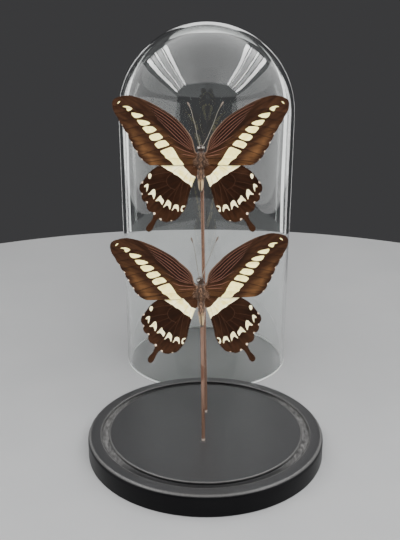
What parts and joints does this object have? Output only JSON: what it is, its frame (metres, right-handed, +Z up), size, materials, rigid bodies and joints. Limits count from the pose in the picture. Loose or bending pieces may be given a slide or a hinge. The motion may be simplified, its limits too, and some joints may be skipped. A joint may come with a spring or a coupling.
{
  "type": "butterflies in glass dome",
  "caption": "Spread swallowtail butterflies mounted on copper rods over a round black base, with the glass dome lifted off and standing behind it.",
  "frame": {"origin": "centre of the round base's underside, on the table", "axes": "+Z up along the rods, -Y out of the butterflies' backs towards the viewer, +Y towards the lifted-off dome, +X to the viewer's right"},
  "size_m": [0.15, 0.2845, 0.2648],
  "materials": {
    "black_wood": "matt black paint",
    "dome_glass": "clear blown glass with a ground rim",
    "copper_rod": "drawn copper-coated wire",
    "insect_body": "dry hairy body",
    "forewing": "brown scales with a cream row of spots",
    "hindwing": "dark brown scales with a cream band and crescents",
    "antenna": "dry thin shell"
  },
  "bodies": {
    "root": {"base": "black_wood", "glass_dome": "dome_glass", "rod_lower": "copper_rod", "rod_upper": "copper_rod", "lower_body": "insect_body", "lower_forewing_left": "forewing", "lower_forewing_right": "forewing", "lower_hindwing_left": "hindwing", "lower_hindwing_right": "hindwing", "lower_antenna_left": "antenna", "lower_antenna_right": "antenna", "upper_body": "insect_body", "upper_forewing_left": "forewing", "upper_forewing_right": "forewing", "upper_hindwing_left": "hindwing", "upper_hindwing_right": "hindwing", "upper_antenna_left": "antenna", "upper_antenna_right": "antenna"}
  },
  "joints": []
}
